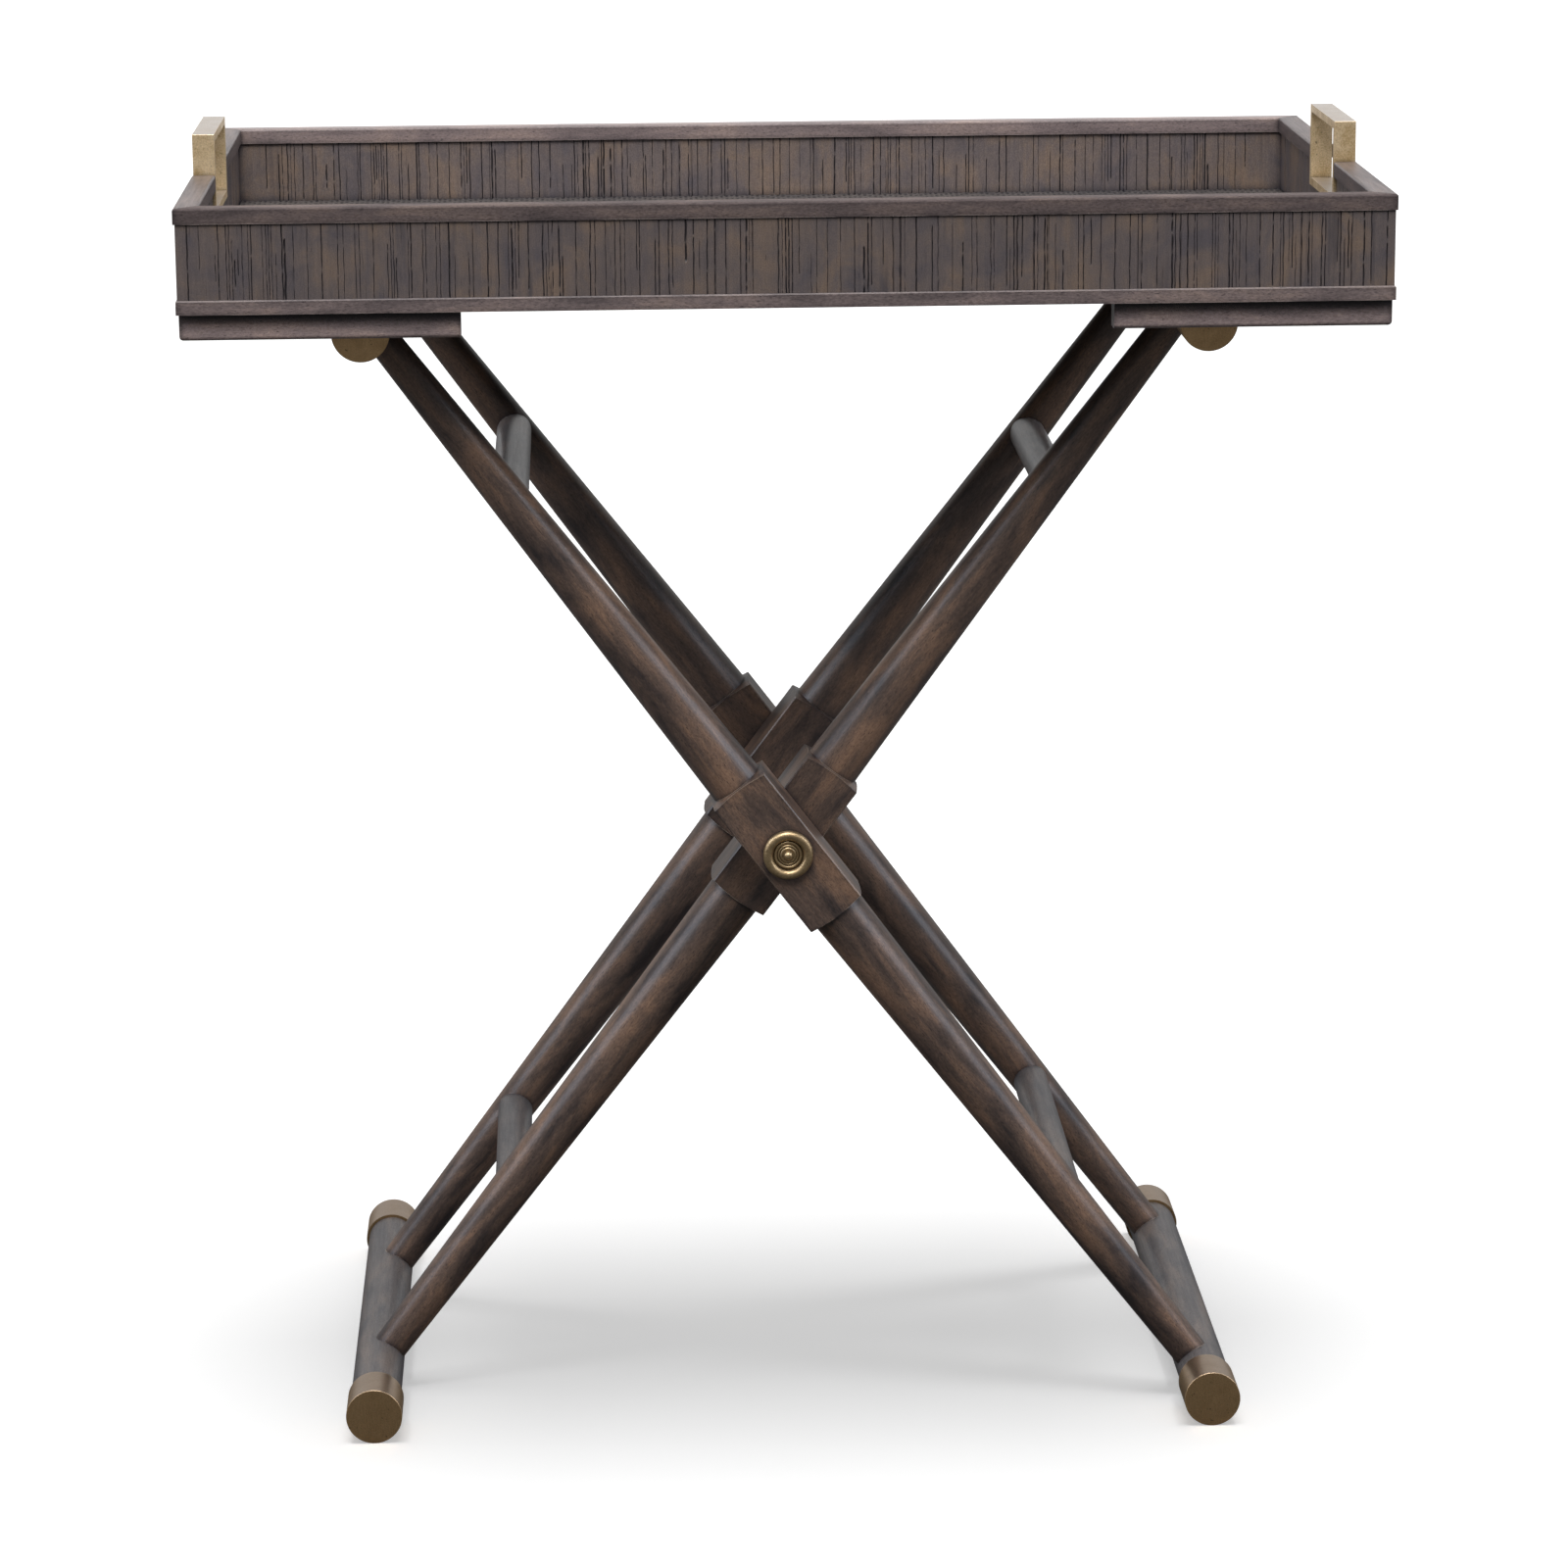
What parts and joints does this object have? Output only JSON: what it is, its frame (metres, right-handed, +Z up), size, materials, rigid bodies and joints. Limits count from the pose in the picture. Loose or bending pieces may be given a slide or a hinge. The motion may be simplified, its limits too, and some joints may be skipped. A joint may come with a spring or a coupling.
{
  "type": "folding tray table",
  "caption": "Rectangular wooden tray with brass loop handles, lifted off a folding X-shaped stand of turned legs with brass-capped bars and square hub blocks.",
  "frame": {"origin": "on the floor, under the centre of the tray", "axes": "+X along the tray's width, +Y towards the back, +Z up; frame A is the outer crossed frame, with its top bar at -X, and frame B the inner one, with its top bar at +X"},
  "size_m": [0.762, 0.457, 0.848],
  "materials": {
    "stained_wood": "dark grey-brown stain under a satin lacquer",
    "scored_veneer": "dark stained panel scored with irregular vertical lines, satin",
    "woven_mat": "tight diagonal weave of dark stained fibre",
    "underside_wood": "dark stained plywood and battens, matt",
    "antique_brass": "aged brass, satin, with darker patina",
    "steel": "zinc-plated, satin",
    "leather": "dark brown hide, matt",
    "nylon": "black nylon"
  },
  "bodies": {
    "frame_a": {"foot_bar_a": "stained_wood", "foot_cap_a_back": "antique_brass", "foot_cap_a_front": "antique_brass", "leg_a_back": "stained_wood", "leg_a_front": "stained_wood", "lower_stretcher_a": "stained_wood", "pivot_bolt_back": "steel", "pivot_bolt_front": "steel", "rosette_back": "antique_brass", "rosette_front": "antique_brass", "spacer_washer_back": "nylon", "spacer_washer_front": "nylon", "top_bar_a": "stained_wood", "top_cap_a_back": "antique_brass", "top_cap_a_front": "antique_brass", "upper_stretcher_a": "stained_wood"},
    "frame_b": {"foot_bar_b": "stained_wood", "foot_cap_b_back": "antique_brass", "foot_cap_b_front": "antique_brass", "leg_b_back": "stained_wood", "leg_b_front": "stained_wood", "lower_stretcher_b": "stained_wood", "threaded_insert_b_back": "steel", "threaded_insert_b_front": "steel", "top_bar_b": "stained_wood", "top_cap_b_back": "antique_brass", "top_cap_b_front": "antique_brass", "upper_stretcher_b": "stained_wood"},
    "tray": {"back_panel": "scored_veneer", "back_rail": "stained_wood", "bar_rest_left": "underside_wood", "bar_rest_right": "underside_wood", "base_moulding_back": "stained_wood", "base_moulding_front": "stained_wood", "base_moulding_left": "stained_wood", "base_moulding_right": "stained_wood", "bottom_board": "underside_wood", "front_panel": "scored_veneer", "front_rail": "stained_wood", "handle_left": "antique_brass", "handle_right": "antique_brass", "handle_screws": "steel", "left_panel": "scored_veneer", "left_rail_back": "stained_wood", "left_rail_front": "stained_wood", "rest_leather_left": "leather", "rest_leather_right": "leather", "rest_screws": "steel", "right_panel": "scored_veneer", "right_rail_back": "stained_wood", "right_rail_front": "stained_wood", "skirt_back_left": "stained_wood", "skirt_back_right": "stained_wood", "skirt_front_left": "stained_wood", "skirt_front_right": "stained_wood", "skirt_left": "stained_wood", "skirt_right": "stained_wood", "woven_floor": "woven_mat"}
  },
  "joints": [
    {"name": "fold", "type": "hinge", "parent": "frame_a", "child": "frame_b", "pos_m": [0, 0, 0.38579], "axis": [0, -1, 0], "range_deg": [0, 68.8]},
    {"name": "tray_lift", "type": "slide", "parent": "frame_a", "child": "tray", "axis": [0, 0, 1], "range_m": [0, 0.361]}
  ],
  "couplings": [
    {"joint": "tray_lift", "follows": "fold", "m_per_rad": 0.3}
  ]
}
